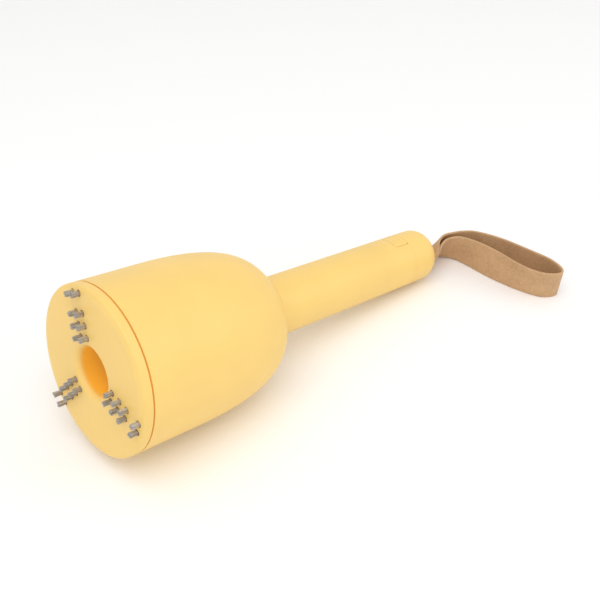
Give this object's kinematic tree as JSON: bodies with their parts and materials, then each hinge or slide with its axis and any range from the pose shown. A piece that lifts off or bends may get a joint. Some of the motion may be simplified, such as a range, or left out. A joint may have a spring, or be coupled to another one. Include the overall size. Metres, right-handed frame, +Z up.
{
  "type": "handheld crumb vacuum",
  "caption": "Cordless hand vacuum for crumbs with a bell-shaped head, a pull-off round brush nozzle, a slender tube handle and a looped strap.",
  "frame": {"origin": "centre of the bounding box's footprint, on the floor the tool lies on", "axes": "+Z up; +X from the nozzle towards the strap, along the lying tool; the strap's loop lies to -Y"},
  "size_m": [0.2811, 0.112, 0.0909],
  "materials": {
    "yellow_shell": "satin moulded yellow",
    "bristle_nylon": "grey nylon strands",
    "seal_rubber": "soft orange rubber",
    "strap_leather": "kraft-brown washable strap",
    "inner_plastic": "plain off-white moulding",
    "filter_cloth": "white pleated filter cloth",
    "motor_steel": "zinc-plated can",
    "cell_sleeve": "plain dark sleeve, no print",
    "board_green": "green circuit board",
    "plated_steel": "plated steel"
  },
  "bodies": {
    "housing": {"cell_tray": "inner_plastic", "front_contact": "plated_steel", "handle_tube": "yellow_shell", "head_shell": "yellow_shell", "lock_ring": "inner_plastic", "motor_can": "motor_steel", "motor_cap": "inner_plastic", "motor_mount": "inner_plastic", "partition": "inner_plastic", "partition_screw_1": "plated_steel", "partition_screw_2": "plated_steel", "partition_screw_3": "plated_steel", "power_cell_1": "cell_sleeve", "power_cell_2": "cell_sleeve", "switch_board": "board_green", "tact_switch": "inner_plastic"},
    "nozzle": {"nozzle_cap": "yellow_shell", "cap_seal": "seal_rubber", "brush_retainer": "inner_plastic", "brush_arm_1": "bristle_nylon", "brush_arm_2": "bristle_nylon", "brush_arm_3": "bristle_nylon", "retainer_screw_1": "plated_steel", "retainer_screw_2": "plated_steel", "retainer_screw_3": "plated_steel"},
    "filter": {"filter_frame": "inner_plastic", "filter_pad": "filter_cloth"},
    "rotor": {"fan": "inner_plastic", "motor_shaft": "plated_steel"},
    "button": {"push_button": "yellow_shell", "switch_plunger": "inner_plastic"},
    "handle_end": {"end_cap": "yellow_shell", "cap_insert": "inner_plastic", "rear_contact": "plated_steel", "strap_pin": "plated_steel", "strap": "strap_leather"}
  },
  "joints": [
    {"name": "nozzle_pull", "type": "slide", "parent": "housing", "child": "nozzle", "axis": [-0.9876, 0, 0.1572], "range_m": [0, 0.014]},
    {"name": "filter_pull", "type": "slide", "parent": "housing", "child": "filter", "axis": [-0.9876, 0, 0.1572], "range_m": [0, 0.01]},
    {"name": "fan_spin", "type": "hinge", "parent": "housing", "child": "rotor", "pos_m": [-0.07692, 0.01402, 0.04124], "axis": [0.9876, 0, -0.1572], "continuous": true},
    {"name": "button_press", "type": "slide", "parent": "housing", "child": "button", "axis": [-0.1572, 0, -0.9876], "range_m": [0, 0.0008], "stiffness_N_per_m": 400},
    {"name": "end_cap_pull", "type": "slide", "parent": "housing", "child": "handle_end", "axis": [0.9876, 0, -0.1572], "range_m": [0, 0.012]}
  ]
}
